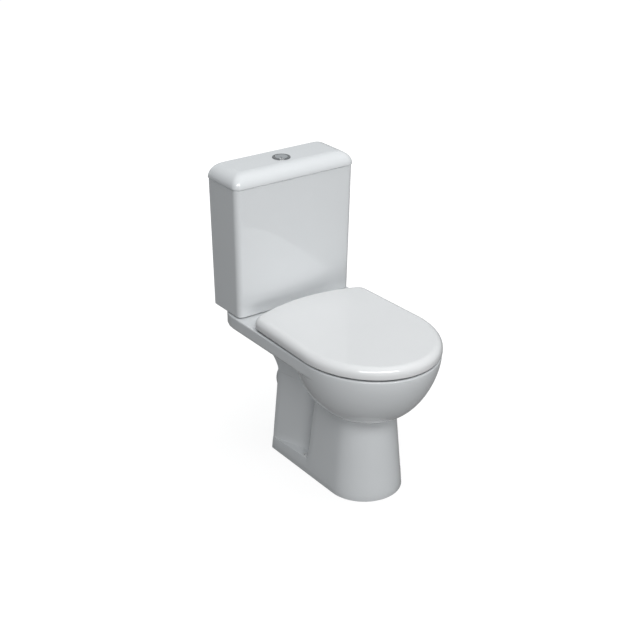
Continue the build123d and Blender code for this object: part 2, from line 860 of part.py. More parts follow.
def make_float():
    """Upturned plastic cup that traps air."""
    right = arm_pivot_x - arm_reach
    left = right - float_width
    rear = valve_s - float_depth / 2
    front = valve_s + float_depth / 2
    top = arm_pivot_z + float_top_share * float_height
    low = top - float_height
    cup = block((left, right), (rear, front), (low, top))
    cup = fillet(cup.edges().filter_by(Axis.Z), float_corner)
    wall = float_wall
    air = block((left + wall, right - wall), (rear + wall, front - wall), (low - lap, top - wall))
    return cup - fillet(air.edges().filter_by(Axis.Z), float_corner - wall)


def hexagon_nut(across_radius, bore, low, high, x, s):
    nut = extrude(at(x, s, low) * RegularPolygon(across_radius, 6), high - low)
    return nut - rod(bore, low - lap, high + lap, x, s)


def coupling_bolt(side):
    x = side * coupling_bolt_x
    head_low = tank_inside + cone_washer_thick
    tail = band_bottom - steel_washer_thick - wing_nut_height - bolt_tail
    head = rod(bolt_head_radius, head_low, head_low + bolt_head_height, x)
    return rod(coupling_bolt_radius, tail, head_low + lap, x) + head


def coupling_cone_washer(side):
    x = side * coupling_bolt_x
    return sleeve(coupling_washer_radius, coupling_bolt_radius + pin_play, tank_inside,
                  tank_inside + cone_washer_thick, x)


def coupling_steel_washer(side):
    x = side * coupling_bolt_x
    return sleeve(coupling_washer_radius, coupling_bolt_radius + pin_play, band_bottom - steel_washer_thick,
                  band_bottom, x)


def coupling_wing_nut(side):
    x = side * coupling_bolt_x
    high = band_bottom - steel_washer_thick
    low = high - wing_nut_height
    span = (x - wing_nut_span / 2, x + wing_nut_span / 2)
    wings = block(span, (valve_s - wing_thick / 2, valve_s + wing_thick / 2), (low, high - wing_drop))
    nut = wings + rod(wing_nut_radius, low, high, x)
    return nut - rod(coupling_bolt_radius + pin_play, low - lap, high + lap, x)


def seat_lid_form(inset, top, rear_inset):
    """Solid of the seat lid's outline with a large rounded top edge."""
    round_edge = seat_lid_round - inset
    sections = []
    for degrees in (-1, 0, 20, 40, 60, 78, 90):
        angle = radians(max(degrees, 0))
        drawn = inset + round_edge * (1 - cos(angle))
        rear = seat_lid_rear + rear_inset + seat_lid_rear_round * (1 - cos(angle))
        z = skirt_bottom if degrees < 0 else top - round_edge + round_edge * sin(angle)
        plan = d_plan(seat_lid_half - drawn, overall_depth - drawn, seat_lid_shoulder, rear,
                      seat_lid_corner - drawn * seat_lid_corner_share, seat_lid_side_draft,
                      seat_lid_rear_bow)
        sections.append(level(plan, z))
    return loft(sections)


def hinge_lug(x_range, s_front, z_range):
    """Ear of the seat or lid that turns on the hinge pin."""
    lug = cross_rod(knuckle_radius - lug_inset, *x_range, hinge_s, hinge_z)
    return lug + block(x_range, (hinge_s - lug_rear, s_front), z_range)


def make_seat_lid():
    """Wrap-over lid: a shell whose skirt hides the ring, with ears on the hinge pins."""
    shell = seat_lid_form(0, seat_lid_top, 0) - seat_lid_form(seat_lid_wall, seat_lid_inside, seat_lid_wall)
    rear = seat_lid_rear - lap
    low = skirt_bottom - lap
    cut_half = seat_lid_half - rear_cut_inset
    shell = shell - block((-cut_half, cut_half), (rear, hinge_s), (low, hinge_z - rear_cut_drop))
    inner = hinge_x - knuckle_width / 2 - lug_play
    outer = hinge_x + knuckle_width / 2 + lug_play + lug_width
    notch_front = hinge_s + knuckle_radius + lap
    notch_top = hinge_z + knuckle_radius + notch_play
    for side in (-1, 1):
        notch = sorted((side * (inner - lug_width - notch_side), side * (outer + notch_side)))
        shell = shell - block(notch, (rear, notch_front), (low, notch_top))
        ear = sorted((side * (inner - lug_width), side * inner))
        ear_z = (hinge_z - lid_lug_drop, seat_lid_inside + lap)
        shell = shell + hinge_lug(ear, hinge_s + lid_lug_front, ear_z)
    return shell - cross_rod(hinge_pin_radius + pin_play, -outer - lap, outer + lap, hinge_s, hinge_z)


def make_seat_ring():
    """Seat ring with rounded edges and two ears on the hinge pins."""
    plan = d_plan(seat_lid_half - ring_inset, ring_tip, seat_lid_shoulder, ring_rear,
                  ring_corner, seat_lid_side_draft, seat_lid_rear_bow)
    hole_waist = (ring_hole_tip + ring_hole_rear) / 2
    plan = plan - oval_plan(ring_hole_half, ring_hole_tip, hole_waist, ring_hole_rear)
    ring = extrude(level(plan, ring_bottom), ring_thick)
    ring = fillet(ring.edges().group_by(Axis.Z)[-1], ring_edge)
    inner = hinge_x + knuckle_width / 2 + lug_play
    for side in (-1, 1):
        ear = sorted((side * inner, side * (inner + lug_width)))
        ring = ring + hinge_lug(ear, hinge_s + ring_lug_front, (hinge_z - ring_lug_drop, ring_top - lap))
    reach = inner + lug_width + lap
    return ring - cross_rod(hinge_pin_radius + pin_play, -reach, reach, hinge_s, hinge_z)


def buffers(low, high, places):
    pads = []
    for x, s in places:
        pads = pads + both_sides(rod(buffer_radius, low, high, x, s))
    return pads


def make_hinge_post():
    """Post on the deck whose knuckle holds the pin."""
    half = knuckle_width / 2
    post = rod(post_base_radius, rim_top, rim_top + post_base_thick, hinge_x, hinge_s)
    upright_s = (hinge_s - knuckle_radius, hinge_s + knuckle_radius)
    post = post + block((hinge_x - half, hinge_x + half), upright_s, (rim_top, hinge_z))
    post = post + cross_rod(knuckle_radius, hinge_x - half, hinge_x + half, hinge_s, hinge_z)
    post = post - cross_rod(hinge_pin_radius, hinge_x - half - lap, hinge_x + half + lap, hinge_s, hinge_z)
    return post - rod(stud_radius, rim_top - lap, rim_top + post_base_thick, hinge_x, hinge_s)


def make_hinge_pin():
    reach = knuckle_width / 2 + lug_play + lug_width + lap
    return cross_rod(hinge_pin_radius, hinge_x - reach, hinge_x + reach, hinge_s, hinge_z)


def make_fixing_stud():
    return rod(stud_radius, rim_top - plug_depth + plug_end, rim_top + post_base_thick, hinge_x, hinge_s)


def make_fixing_plug():
    return sleeve(plug_radius, stud_radius, rim_top - plug_depth, rim_top, hinge_x, hinge_s)


def make_floor_sleeve():
    """Plastic bush in a foot hole, open for the floor screw."""
    low = floor_fixing_foot
    seat = floor_fixing_seat
    high = seat + floor_flange_thick
    bush = rod(floor_fixing_bore + floor_fixing_wall, low, seat, floor_fixing_x, floor_fixing_s)
    bush = bush + rod(floor_flange_radius, seat, high, floor_fixing_x, floor_fixing_s)
    return bush - rod(floor_fixing_bore, low - lap, high + lap, floor_fixing_x, floor_fixing_s)


def build_nodes():
    nodes = {"pan": make_pan(), "cistern_tank": make_tank(), "cistern_lid": make_cistern_lid()}
    nodes["button_housing"] = make_button_housing()
    nodes["button_locknut"] = make_button_locknut()
    nodes["full_flush_button"] = make_full_button()
    nodes["half_flush_button"] = make_half_button()
    for name, side in (("full", 1), ("half", -1)):
        nodes[f"{name}_push_rod"] = make_push_rod(side)
        nodes[f"{name}_button_spring"] = make_button_spring(side)
    nodes["flush_valve_body"] = make_valve_body()
    nodes["valve_gasket"] = sleeve(flange_radius, tail_radius + pin_play, tank_inside, flange_bottom)
    nodes["valve_back_nut"] = hexagon_nut(back_nut_radius, tail_radius + pin_play,
                                          tank_bottom - back_nut_thick, tank_bottom, 0, valve_s)
    nodes["lift_tube"] = make_lift_tube()
    nodes["valve_seal"] = sleeve(seal_radius, lift_tube_bore, seal_bottom, seal_top)
    nodes["full_flush_rocker"] = make_rocker(1, finger_reach)
    nodes["half_flush_trip_lever"] = make_rocker(-1, trip_reach)
    nodes["rocker_pins"] = both_sides(lever_pin(rocker_width, rocker_pivot_x, rocker_pivot_z))
    nodes["fill_valve_body"] = make_fill_body()
    nodes["fill_valve_cap"] = make_fill_cap()
    inlet_bore = inlet_shank_radius + pin_play
    nodes["fill_valve_washer"] = sleeve(fill_flange_radius, inlet_bore, tank_inside, flange_bottom, fill_x)
    nodes["inlet_nut"] = hexagon_nut(inlet_nut_radius, inlet_bore, tank_bottom - inlet_nut_thick,
                                     tank_bottom, fill_x, valve_s)
    nodes["float_arm"] = make_float_arm()
    nodes["float_cup"] = make_float()
    nodes["float_pin"] = lever_pin(arm_thick, arm_pivot_x, arm_pivot_z)
    seal_bore = back_nut_radius + socket_play
    nodes["coupling_seal"] = sleeve(coupling_seal_radius, seal_bore, socket_floor, tank_bottom)
    nodes["coupling_bolts"] = [coupling_bolt(side) for side in (-1, 1)]
    nodes["coupling_rubber_washers"] = [coupling_cone_washer(side) for side in (-1, 1)]
    nodes["coupling_steel_washers"] = [coupling_steel_washer(side) for side in (-1, 1)]
    nodes["coupling_wing_nuts"] = [coupling_wing_nut(side) for side in (-1, 1)]
    nodes["seat_lid"] = make_seat_lid()
    nodes["seat_ring"] = make_seat_ring()
    nodes["lid_buffers"] = buffers(ring_top + contact_gap, seat_lid_inside, lid_buffer_places)
    nodes["seat_buffers"] = buffers(rim_top + seat_rest_play, ring_bottom, seat_buffer_places)
    nodes["hinge_posts"] = both_sides(make_hinge_post())
    nodes["hinge_pins"] = both_sides(make_hinge_pin())
    nodes["seat_fixing_studs"] = both_sides(make_fixing_stud())
    nodes["seat_fixing_plugs"] = both_sides(make_fixing_plug())
    nodes["floor_fixing_sleeves"] = both_sides(make_floor_sleeve())
    return nodes


os.makedirs("parts", exist_ok=True)
for node, shape in build_nodes().items():
    if isinstance(shape, list):
        shape = Compound([piece.solid() for piece in shape])
    export_step(shape, f"parts/{node}.step")
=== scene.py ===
import math

import bmesh
import bpy
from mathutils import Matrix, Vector


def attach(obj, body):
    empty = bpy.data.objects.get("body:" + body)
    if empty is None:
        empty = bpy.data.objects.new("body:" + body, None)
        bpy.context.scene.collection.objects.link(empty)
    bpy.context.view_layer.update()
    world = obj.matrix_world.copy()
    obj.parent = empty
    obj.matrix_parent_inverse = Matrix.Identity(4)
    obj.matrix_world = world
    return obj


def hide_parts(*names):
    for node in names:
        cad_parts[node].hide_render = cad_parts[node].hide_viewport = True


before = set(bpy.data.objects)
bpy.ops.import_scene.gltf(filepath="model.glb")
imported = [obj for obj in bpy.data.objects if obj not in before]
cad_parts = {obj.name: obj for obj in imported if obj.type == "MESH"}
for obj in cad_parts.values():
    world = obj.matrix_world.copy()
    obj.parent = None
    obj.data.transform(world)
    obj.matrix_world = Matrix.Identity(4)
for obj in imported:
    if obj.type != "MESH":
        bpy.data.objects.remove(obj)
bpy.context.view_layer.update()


# Pan: the bowl, rim, rear deck, pedestal and outlet in one vitreous china casting.
# It is slip cast hollow in a plaster mould, so its edges are soft and its foot is an open shell,
# and the white glaze is fired over all of it.
WALL_PLANE = 0.316
RIM_TOP, RIM_EDGE, DECK_UNDERSIDE, DECK_EDGE = 395.0, 4.0, 356.5, 10.0
BOWL_FOOT, BOWL_RISE = 226.0, 164.0
PEDESTAL_REAR, PEDESTAL_LEAN, COLUMN_CENTRE = 145.0, 4.0, 427.0
RECESS, RECESS_RUN = 42.0, 185.0
FOOT_HALF, COLUMN_TAPER = 99.0, 19.0
NECK_FOOT, NECK_RISE, NECK_FRONT = 236.0, 121.5, 300.0


def spot(side, out, height):
    """Place given in millimetres to the side, out from the wall and up from the floor."""
    return Vector((side / 1000, WALL_PLANE - out / 1000, height / 1000))


def oval(half, tip, waist, rear, height):
    """Egg-shaped plan, from its right-hand side round by the front."""
    ring = []
    for step in range(96):
        turn = math.tau * step / 96
        reach = tip - waist if math.sin(turn) > 0 else waist - rear
        ring.append(spot(half * math.cos(turn), waist + reach * math.sin(turn), height))
    return ring


def dee(half, tip, shoulder, rear, corner, height, bow=0.0, draft=0.0, marks=()):
    """D-shaped plan: round front, sides that may draw in behind the shoulder, rear edge that may be bowed."""
    ring = []
    for step in range(48):
        turn = math.pi * step / 48
        ring.append(spot(half * math.cos(turn), shoulder + (tip - shoulder) * math.sin(turn), height))
    end, rear_side = half - draft, rear + bow
    bend = (end * end + bow * bow) / (2 * bow) if bow else 1e6
    lean, slope = math.atan2(draft, shoulder - rear_side), math.asin(end / bend)
    cut = corner / math.tan((math.pi / 2 + lean + slope) / 2)
    side_x, side_s = -end - cut * math.sin(lean), rear_side + cut * math.cos(lean)
    left = [(-half + (side_x + half) * k / 8, shoulder + (side_s - shoulder) * k / 8) for k in range(8)]
    for step in range(8):
        turn = math.pi + lean + (math.pi / 2 - lean - slope) * step / 7
        left.append((side_x + corner * (math.cos(lean) + math.cos(turn)),
                     side_s + corner * (math.sin(lean) + math.sin(turn))))
    reach = -left[-1][0]
    last = marks[-1] if marks else 0
    across = list(marks) + [last + (reach - last) * k / 9 for k in (range(3, 9, 3) if marks else range(1, 9))]
    back_edge = [(x, rear + bend - math.sqrt(bend * bend - x * x))
                 for x in [-x for x in reversed(across)] + [0] + across]
    right = [(-x, s) for x, s in reversed(left[1:])]
    return ring + [spot(x, s, height) for x, s in left + back_edge + right]


def lay_ring(bm, ring):
    """First closed row of a skin."""
    row = bmesh.ops.create_circle(bm, segments=len(ring))["verts"]
    for vert, place in zip(row, ring):
        vert.co = place
    return row


def row_edges(bm, row):
    return [bm.edges.get((a, b)) for a, b in zip(row, row[1:] + row[:1])]


def draw_on(bm, row, ring):
    """Extrudes a row of the skin to the next plan."""
    made = bmesh.ops.extrude_edge_only(bm, edges=row_edges(bm, row))["geom"]
    fresh = {vert for vert in made if isinstance(vert, bmesh.types.BMVert)}
    following = []
    for vert, place in zip(row, ring):
        twin = next(e.other_vert(vert) for e in vert.link_edges if e.other_vert(vert) in fresh)
        twin.co = place
        following.append(twin)
    return following


def skin(bm, rings, close=False):
    """Skin through a run of plans, capped at both ends or closed on itself."""
    first = row = lay_ring(bm, rings[0])
    for ring in rings[1:]:
        row = draw_on(bm, row, ring)
    if close:
        bmesh.ops.bridge_loops(bm, edges=row_edges(bm, first) + row_edges(bm, row))
    else:
        bmesh.ops.edgeloop_fill(bm, edges=row_edges(bm, first))
        bmesh.ops.edgeloop_fill(bm, edges=row_edges(bm, row))


def swell(height, foot=BOWL_FOOT, rise=BOWL_RISE):
    """Share of the bowl's full width at a height."""
    left = 1 - min(1, max(0, (height - foot) / rise))
    return (1 - left ** 1.53) ** (1 / 1.62)


def bowl_row(height, inset=0.0):
    full = swell(height)
    return oval(82 + 97.7 * full - inset, 514 + 117 * full - inset, 430 - 9 * full, 242 + 10 * full, height)


def rim_row(height, inset=0.0, tuck=0.0):
    """Outline where the deck runs into the sides of the bowl."""
    trim = inset + tuck
    bowl = bowl_row(height, inset)
    deck = dee(179.4 - trim, 600, 403, 8 + trim, 84 - trim, height)
    meet = max(179.4 - trim, 994 * bowl[0].x)
    deck[0], deck[48] = spot(meet, 403, height), spot(-meet, 403, height)
    return deck[:1] + bowl[1:48] + deck[48:]


def pan_vessel(bm):
    """Bowl, rim and deck, with the inside of the bowl and the sump."""
    rings = [oval(50, 436, 370, 298, 112), oval(52, 438, 370, 297, 116), oval(54, 440, 372, 296, 200)]
    rings.append(oval(78, 506, 430, 248, BOWL_FOOT))
    rings += [bowl_row(BOWL_FOOT + rise) for rise in (0, 1, 3, 7, 13, 21, 31, 43, 57, 72, 88, 104, 117, 127)]
    rings.append(rim_row(DECK_UNDERSIDE - 0.4, 0, DECK_EDGE + 3))
    for degrees in (0, 15, 30, 45, 60, 75, 90):
        turn = math.radians(degrees)
        rise, tuck = DECK_EDGE * (1 - math.cos(turn)), DECK_EDGE * (1 - math.sin(turn))
        rings.append(rim_row(DECK_UNDERSIDE + rise, 0, tuck))
    rings += [rim_row(height) for height in (369, 375, 382, 389)]
    for degrees in (0, 15, 30, 45, 60, 75, 90):
        turn = math.radians(degrees)
        rings.append(rim_row(RIM_TOP - RIM_EDGE * (1 - math.sin(turn)), RIM_EDGE * (1 - math.cos(turn))))
    rings.append(rim_row(RIM_TOP, RIM_EDGE + 2))
    for spread, height in ((8, 0), (5, 0), (3.1, -0.4), (1.5, -1.5), (0.4, -3.1), (0, -5), (0, -21),
                           (2, -23)):
        rings.append(oval(122 + spread, 578 + spread, 421, 262 - spread, RIM_TOP + height))
    for height in (372, 366, 356, 344, 329, 313, 297, 284, 272, 261, 252, 246, 240, 237.4, 236):
        full = swell(height, 236, 136)
        rings.append(oval(66 + 100.4 * full, 495 + 123 * full, 421, 300 - 35 * full, height))
    rings += [oval(60, 484, 413, 302, 218), oval(50, 454, 391, 306, 172), oval(42, 430, 374, 309, 133),
              oval(38, 423, 370, 312, 126), oval(30, 414, 370, 322, 124)]
    skin(bm, rings)


def pedestal_plan(half, rear, step_s, set_in, wall=0.0):
    """Plan of the pedestal: a round-fronted column and a rear web whose sides may be set in."""
    half, rear = half - wall, rear + wall
    left = []
    for step in range(15):
        turn = math.radians(90 * step / 14)
        left.append((-half * math.sin(turn), COLUMN_CENTRE + half * math.cos(turn)))
    for step in range(1, 6):
        left.append((-half, COLUMN_CENTRE + (step_s + 4 - COLUMN_CENTRE) * step / 6))
    depth = RECESS * (step_s - PEDESTAL_REAR) / RECESS_RUN
    for step in range(4):
        turn = math.radians(30 * step)
        left.append((set_in * 4 * (1 - math.cos(turn)) - half, step_s + 4 - 4 * math.sin(turn)))
    for step in range(4):
        turn = math.radians(30 * step)
        left.append((set_in * (depth - 5 + 5 * math.sin(turn)) - half,
                     step_s - 0.3 - 5 * (1 - math.cos(turn))))
    for step in range(1, 11):
        s = step_s - 5.3 + (rear + 4 - step_s + 5.3) * step / 10
        left.append((set_in * RECESS * (s - PEDESTAL_REAR) / RECESS_RUN - half, s))
    base = left[-1][0]
    for step in range(1, 5):
        turn = math.radians(22.5 * step)
        left.append((base + 4 * (1 - math.cos(turn)), rear + 4 - 4 * math.sin(turn)))
    left += [(left[-1][0] * share, rear) for share in (0.95, 0.6, 0.3)] + [(0, rear)]
    return left + [(-x, s) for x, s in reversed(left[1:-1])]


def pedestal_row(height, set_in=1.0, wall=0.0):
    share = height / BOWL_FOOT
    half, rear = FOOT_HALF - COLUMN_TAPER * share, PEDESTAL_REAR + PEDESTAL_LEAN * share
    plan = pedestal_plan(half, rear, 302 + 20 * share, set_in, wall)
    return [spot(x, s, height) for x, s in plan]


def pan_pedestal(bm):
    """Foot, ledge, set-in web and column as one shell, open underneath."""
    rings = [pedestal_row(0, 0, 2), pedestal_row(0.8, 0, 0.6), pedestal_row(2.5, 0), pedestal_row(18, 0)]
    outside, inside = pedestal_row(40, 0), pedestal_row(40, 1)
    for edge, rise in ((0, -1), (0.29, -0.29), (1, 0), (-1, 0), (-0.29, 0.29), (0, 1)):
        row = []
        for near, far in zip(outside, inside):
            s = (WALL_PLANE - near.y) * 1000
            ledge = 34 + 11 * min(1, max(0, (s - PEDESTAL_REAR) / 172))
            width = abs(far.x - near.x) * 1000
            soft = min(3, 0.4 * width)
            draw = edge * soft if edge > 0 or (edge, rise) == (0, -1) else width + edge * soft
            share = draw / width if width > 1e-6 else 0
            place = near.lerp(far, share)
            place.z = (ledge + rise * soft) / 1000
            row.append(place)
        rings.append(row)
    rings += [pedestal_row(z) for z in (56, 80, 110, 140, 170, 200, 222, 230.4)]
    rings += [pedestal_row(230.4, 1, 8), pedestal_row(160, 1, 12), pedestal_row(60, 1, 12),
              pedestal_row(0, 0, 12)]
    skin(bm, rings, close=True)


def pan_neck(bm):
    """Web above the column, flaring out under the deck; its front ends inside the wall of the bowl."""
    rings = []
    for share, inset in ((0, 5), (0, 0), (0.05, 0), (0.12, 0), (0.2, 0), (0.3, 0), (0.4, 0), (0.5, 0),
                         (0.6, 0), (0.68, 0), (0.76, 0), (0.84, 0), (0.92, 0), (1, 0)):
        height = 231 - 3 * (inset > 0) + 126.5 * share
        flare = max(0, (height - NECK_FOOT) / NECK_RISE)
        reach = 118 * flare ** 2.2
        half = FOOT_HALF - COLUMN_TAPER * min(height, NECK_FOOT) / BOWL_FOOT + 0.75 * reach - inset
        rear = PEDESTAL_REAR + PEDESTAL_LEAN - 83 * flare ** 1.3 + inset
        corner = 4 + 0.25 * reach
        full = swell(height)
        wall_half, wall_rear = 73 + 99 * full, 268 - 10 * full
        slope = RECESS * (1 + 0.8 * flare) / RECESS_RUN
        start, front_s = rear - PEDESTAL_LEAN * (1 - flare), NECK_FRONT
        for _ in range(12):
            bulge = max(0, 1 - ((slope * (front_s - start) - half) / wall_half) ** 2) ** 0.5
            front_s = 0.5 * (front_s + min(NECK_FRONT, 430 - (430 - wall_rear) * bulge))
        left = []
        for step in range(13):
            s = front_s + (rear + corner - front_s) * step / 12
            left.append((slope * (s - start) - half, s))
        base = left[-1][0]
        for step in range(1, 7):
            turn = math.radians(15 * step)
            left.append((base + corner * (1 - math.cos(turn)), rear + corner * (1 - math.sin(turn))))
        left += [(left[-1][0] * part, rear) for part in (0.9, 0.6, 0.3, 0)]
        front = []
        for step in range(1, 12):
            x = left[0][0] * (step / 6 - 1)
            bulge = max(0, 1 - (x / max(wall_half, abs(x) + 1)) ** 2) ** 0.5
            front.append((x, min(NECK_FRONT, 430 - (430 - wall_rear) * bulge)))
        plan = left + [(-x, s) for x, s in reversed(left[:-1])] + front
        rings.append([spot(x, s, height) for x, s in plan])
    skin(bm, rings)


def pan_outlet(bm):
    """Horizontal outlet spigot, and the boss under the deck round the flush inlet."""
    rings = []
    for radius, out in ((30, 190), (44, 188), (44, 103), (44.5, 101), (46, 100), (49, 100), (50.5, 101),
                        (51, 103), (51, 150), (49, 170), (32, 192)):
        ring = []
        for step in range(64):
            turn = math.tau * step / 64
            ring.append(spot(radius * math.cos(turn), out, 180 + radius * math.sin(turn)))
        rings.append(ring)
    skin(bm, rings)
    rings = []
    for radius, height in ((47, 323.5), (50, 324.1), (51.4, 325.4), (52, 328), (52, 340), (52, 358)):
        turns = [math.tau * k / 64 for k in range(64)]
        rings.append([spot(radius * math.cos(t), 64 + radius * math.sin(t), height) for t in turns])
    skin(bm, rings)


def firing_marks():
    """Node group: the faint unevenness of a fired glaze in tone, gloss and surface."""
    group = bpy.data.node_groups.new("firing_marks", "ShaderNodeTree")
    for name, kind in (("Thick", "NodeSocketColor"), ("Thin", "NodeSocketColor"), ("Low", "NodeSocketFloat"),
                       ("High", "NodeSocketFloat"), ("Grain", "NodeSocketFloat")):
        group.interface.new_socket(name, in_out="INPUT", socket_type=kind)
    for name, kind in (("Colour", "NodeSocketColor"), ("Gloss", "NodeSocketFloat"),
                       ("Height", "NodeSocketFloat")):
        group.interface.new_socket(name, in_out="OUTPUT", socket_type=kind)
    nodes, link = group.nodes, group.links.new
    given, put = nodes.new("NodeGroupInput"), nodes.new("NodeGroupOutput")
    place = nodes.new("ShaderNodeTexCoord")
    cloud = nodes.new("ShaderNodeTexNoise")
    cloud.inputs["Scale"].default_value = 7.0
    cloud.inputs["Detail"].default_value = 3.0
    peel = nodes.new("ShaderNodeTexNoise")
    peel.inputs["Detail"].default_value = 2.0
    tone = nodes.new("ShaderNodeMix")
    tone.data_type = "RGBA"
    gloss = nodes.new("ShaderNodeMapRange")
    link(place.outputs["Object"], cloud.inputs["Vector"])
    link(place.outputs["Object"], peel.inputs["Vector"])
    link(given.outputs["Grain"], peel.inputs["Scale"])
    link(cloud.outputs["Fac"], tone.inputs["Factor"])
    link(given.outputs["Thick"], tone.inputs["A"])
    link(given.outputs["Thin"], tone.inputs["B"])
    link(peel.outputs["Fac"], gloss.inputs["Value"])
    link(given.outputs["Low"], gloss.inputs["To Min"])
    link(given.outputs["High"], gloss.inputs["To Max"])
    link(tone.outputs["Result"], put.inputs["Colour"])
    link(gloss.outputs["Result"], put.inputs["Gloss"])
    link(peel.outputs["Fac"], put.inputs["Height"])
    return group


fired = firing_marks()


def finish_of(name, thick, thin, low, high, grain, relief, **sockets):
    """Material with the marks in its tone, gloss and surface, and plain values on the shader."""
    made = bpy.data.materials.new(name)
    made.use_nodes = True
    nodes, link = made.node_tree.nodes, made.node_tree.links.new
    shader = nodes["Principled BSDF"]
    uneven = nodes.new("ShaderNodeGroup")
    uneven.node_tree = fired
    uneven.inputs["Thick"].default_value = (*thick, 1)
    uneven.inputs["Thin"].default_value = (*thin, 1)
    uneven.inputs["Low"].default_value = low
    uneven.inputs["High"].default_value = high
    uneven.inputs["Grain"].default_value = grain
    bump = nodes.new("ShaderNodeBump")
    bump.inputs["Strength"].default_value = relief
    bump.inputs["Distance"].default_value = 0.001
    link(uneven.outputs["Colour"], shader.inputs["Base Color"])
    link(uneven.outputs["Gloss"], shader.inputs["Roughness"])
    link(uneven.outputs["Height"], bump.inputs["Height"])
    link(bump.outputs["Normal"], shader.inputs["Normal"])
    for socket, value in sockets.items():
        shader.inputs[socket.replace("_", " ")].default_value = value
    return made


glaze = finish_of("white_glaze", (0.698, 0.716, 0.728), (0.722, 0.738, 0.748), 0.10, 0.16, 18.0, 0.02,
                  Coat_Weight=1.0, Coat_Roughness=0.02, Coat_IOR=1.6, Specular_IOR_Level=0.25)


def piece(name, bm, surface, body, slot, *nodes):
    """Object from a mesh: seams merged, faces outward, smooth but for real edges, carried by its body."""
    bmesh.ops.remove_doubles(bm, verts=bm.verts, dist=0.00002)
    bmesh.ops.dissolve_degenerate(bm, dist=0.00001, edges=bm.edges)
    bmesh.ops.recalc_face_normals(bm, faces=bm.faces)
    for face in bm.faces:
        face.smooth = True
    mesh = bpy.data.meshes.new(name)
    bm.to_mesh(mesh)
    bm.free()
    mesh.set_sharp_from_angle(angle=math.radians(38))
    mesh.materials.append(surface)
    made = bpy.data.objects.new(name, mesh)
    bpy.context.scene.collection.objects.link(made)
    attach(made, body)
    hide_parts(*nodes)
    return made


def dress(surface, *nodes):
    """Gives modelled parts that keep their own shape their real surface."""
    for node in nodes:
        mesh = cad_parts[node].data
        mesh.materials.clear()
        mesh.materials.append(surface)


bm = bmesh.new()
pan_vessel(bm)
pan_pedestal(bm)
pan_neck(bm)
pan_outlet(bm)
piece("pan_casting", bm, glaze, "pan_and_cistern", "ceramic", "pan")


# Floor fixings: two pale plastic sleeves in the foot ledge, which take the screws to the floor.
# Each is a moulded tube with a flat flange that keeps the screw head off the china.
sleeve_plastic = finish_of("sleeve_plastic", (0.60, 0.605, 0.61), (0.66, 0.664, 0.666), 0.42, 0.55, 160.0,
                           0.12)
SLEEVE_X, SLEEVE_OUT = 86.0, 290.0


def turned(bm, profile, x, out, count=48):
    """Solid of revolution about an upright line, its closed profile given as radius and height."""
    first = [bm.verts.new(spot(x + radius, out, height)) for radius, height in profile]
    edges = [bm.edges.new((a, b)) for a, b in zip(first, first[1:] + first[:1])]
    bmesh.ops.spin(bm, geom=first + edges, cent=spot(x, out, 0), axis=(0, 0, 1), angle=math.tau, steps=count,
                   use_merge=True)


bm = bmesh.new()
for side in (-1, 1):
    turned(bm, [(4.2, 2), (5.6, 2), (5.6, 42), (8, 42), (8.5, 42.5), (8.5, 44.4), (8.3, 44.8), (7.9, 45),
                (5, 45), (4.5, 44.8), (4.2, 44.3)], side * SLEEVE_X, SLEEVE_OUT)
piece("floor_screw_sleeves", bm, sleeve_plastic, "pan_and_cistern", "sleeve_plastic", "floor_fixing_sleeves")


# Coupling between cistern and pan: a fat moulded rubber ring round the valve tail, and two bolts
# of stainless steel with rubber and steel washers, drawn up from below by plastic wing nuts.
black_rubber = finish_of("black_rubber", (0.035, 0.035, 0.037), (0.055, 0.055, 0.057), 0.55, 0.75, 240.0,
                         0.25)
plain_steel = finish_of("plain_steel", (0.52, 0.53, 0.54), (0.60, 0.61, 0.62), 0.22, 0.36, 320.0, 0.06,
                        Metallic=1.0)
blue_plastic = finish_of("blue_plastic", (0.10, 0.22, 0.44), (0.13, 0.26, 0.48), 0.38, 0.5, 160.0, 0.1)
dress(black_rubber, "coupling_seal", "coupling_rubber_washers")
dress(plain_steel, "coupling_bolts", "coupling_steel_washers")
dress(blue_plastic, "coupling_wing_nuts")


# Cistern tank: an open glazed china box that stands on the deck and is bolted down through its floor.
# It is slip cast with drafted walls, so it widens upwards; two holes in its back take the wall screws.
TANK_BOTTOM, TANK_TOP, TANK_WALL = 397.0, 749.7, 10.0
WALL_HOLE_X, WALL_HOLE_Z, WALL_HOLE_RADIUS = 100.0, 709.7, 4.5


def rounded_box(half, rear, front, rear_corner, front_corner, height, across=(), along=()):
    """Box plan with rounded corners, from the left rear corner round by the back."""
    across = across or (0.02, 0.2, 0.4, 0.6, 0.8, 0.98)
    along = along or (0.04, 0.3, 0.7, 0.96)
    corners = ((-half, rear, rear_corner, 180), (half, rear, rear_corner, 270),
               (half, front, front_corner, 0), (-half, front, front_corner, 90))
    arcs = []
    for x, s, radius, start in corners:
        centre_x, centre_s = x - math.copysign(radius, x), s + radius if s == rear else s - radius
        arcs.append([(centre_x + radius * math.cos(math.radians(start + 10 * k)),
                      centre_s + radius * math.sin(math.radians(start + 10 * k))) for k in range(10)])
    ring = []
    for number, arc in enumerate(arcs):
        ring += arc
        (x0, s0), (x1, s1) = arc[-1], arcs[(number + 1) % 4][0]
        for share in along if number % 2 else across:
            ring.append((x0 + (x1 - x0) * share, s0 + (s1 - s0) * share))
    return [spot(x, s, height) for x, s in ring]


def tank_row(height, inset=0.0):
    share = (height - TANK_BOTTOM) / (TANK_TOP - TANK_BOTTOM)
    half, front = 175 + 6 * share - inset, 122 + 8 * share - inset
    corner = 4 - 0.2 * inset
    run = 2 * (half - corner)
    hole = [0.5 + side * (WALL_HOLE_X + edge) / run for side, edge in ((-1, 8), (-1, -8), (1, -8), (1, 8))]
    across = (0.02, *hole[:2], 0.42, 0.58, *hole[2:], 0.98)
    return rounded_box(half, inset, front, corner, 15 - 0.6 * inset, height, across)


